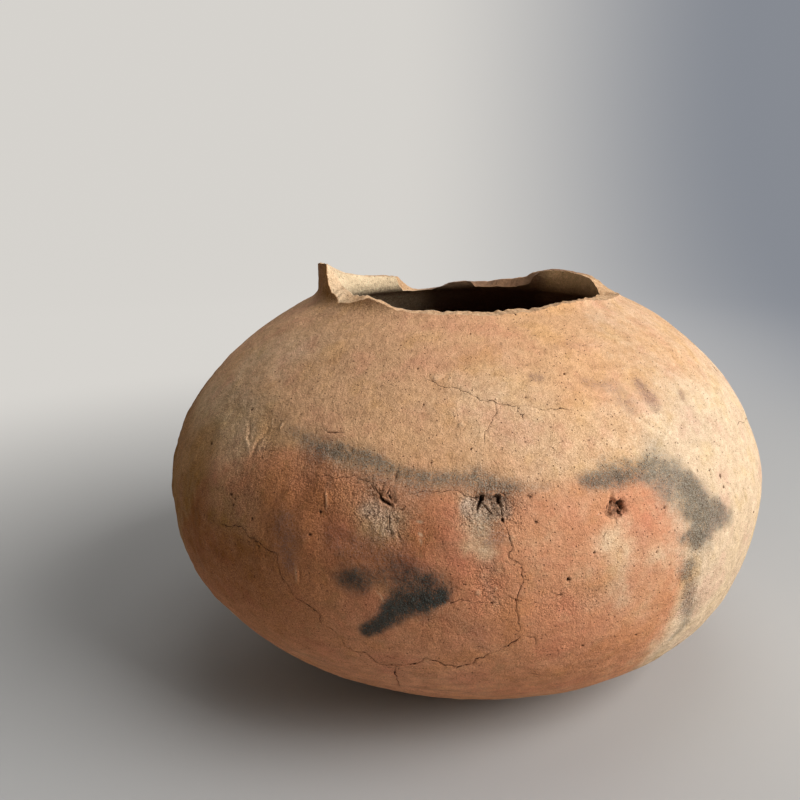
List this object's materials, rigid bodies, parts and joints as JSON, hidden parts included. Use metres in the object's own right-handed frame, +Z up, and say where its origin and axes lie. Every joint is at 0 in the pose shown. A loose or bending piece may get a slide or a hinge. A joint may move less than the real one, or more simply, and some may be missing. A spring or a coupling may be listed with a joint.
{
  "type": "pottery jar",
  "caption": "Hand-built round-bodied pottery jar with a small flat base, a wide mouth and a broken-off neck, made of luted clay bands.",
  "frame": {"origin": "centre of the flat resting face, on the axis of the mouth", "axes": "+Z up through the mouth; +X right and -Y front, as seen from the side where the neck is broken lowest"},
  "size_m": [0.2008, 0.1989, 0.1336],
  "materials": {
    "base_clay": "matte unglazed earthenware, brown and smoky",
    "belly_clay": "matte unglazed earthenware, terracotta with grey fire clouds",
    "shoulder_clay": "matte unglazed earthenware, tan",
    "neck_clay": "matte unglazed earthenware, pale buff, with a broken edge"
  },
  "bodies": {
    "root": {"base_pad": "base_clay", "base_coil": "base_clay", "foot_coil": "base_clay", "lower_wall_coil": "belly_clay", "lower_belly_coil": "belly_clay", "upper_belly_coil": "belly_clay", "lower_shoulder_coil": "shoulder_clay", "upper_shoulder_coil": "shoulder_clay", "neck_collar": "neck_clay"}
  },
  "joints": []
}
